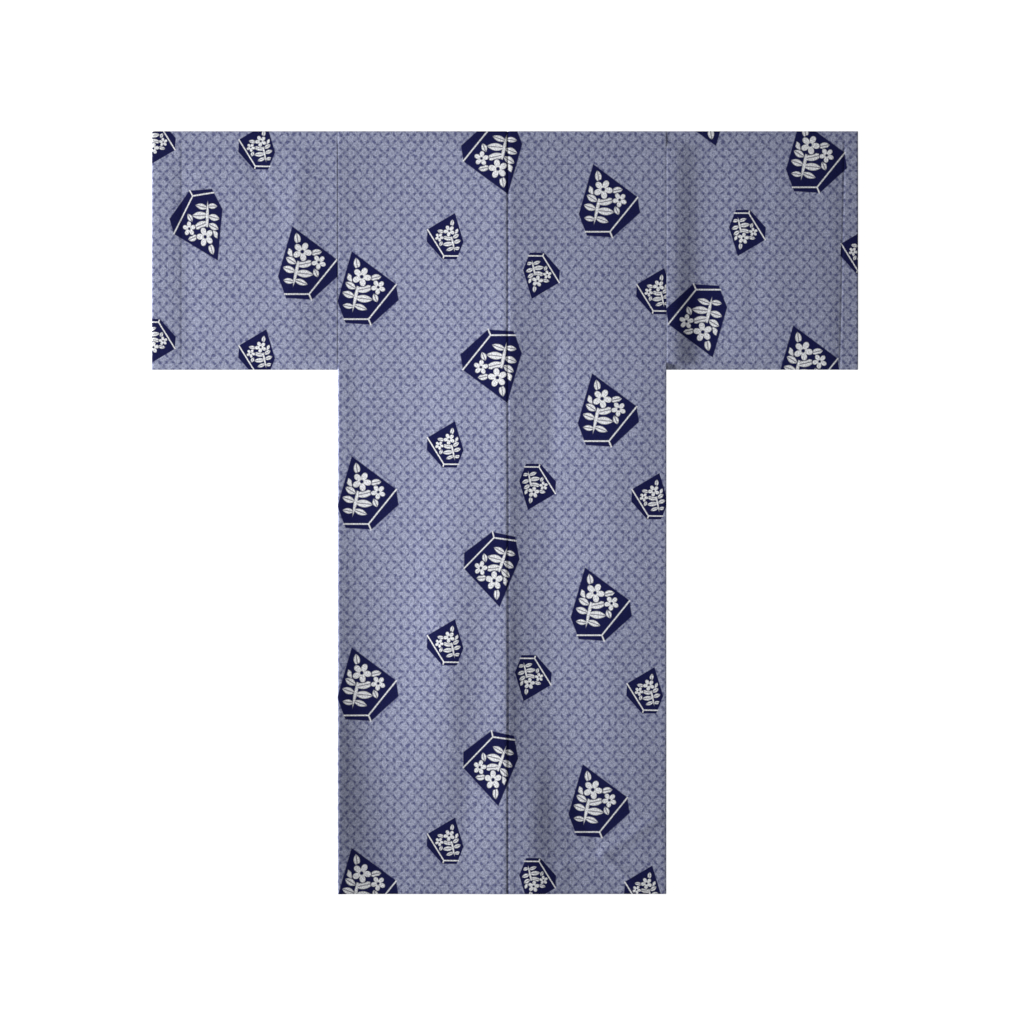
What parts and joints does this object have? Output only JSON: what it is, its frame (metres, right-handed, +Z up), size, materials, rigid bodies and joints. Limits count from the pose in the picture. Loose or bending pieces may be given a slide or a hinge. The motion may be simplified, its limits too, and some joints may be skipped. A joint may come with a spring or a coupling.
{
  "type": "cotton yukata robe",
  "caption": "Cotton yukata lying flat, back up: body lengths folded over the shoulders, wide square sleeves, overlap strips and collar beneath, in a small indigo print.",
  "frame": {"origin": "on the surface that the robe lies on, under the middle of its outline", "axes": "+Z up from that surface, +Y from hem to shoulders, +X to the right as seen from above, over the back"},
  "size_m": [1.296, 1.4, 0.0073],
  "materials": {
    "printed_cotton": "matt plain-weave cotton with an indigo print"
  },
  "bodies": {
    "root": {"body_left": "printed_cotton", "body_right": "printed_cotton", "sleeve_left": "printed_cotton", "sleeve_right": "printed_cotton", "okumi_left": "printed_cotton", "okumi_right": "printed_cotton", "collar": "printed_cotton"}
  },
  "joints": []
}
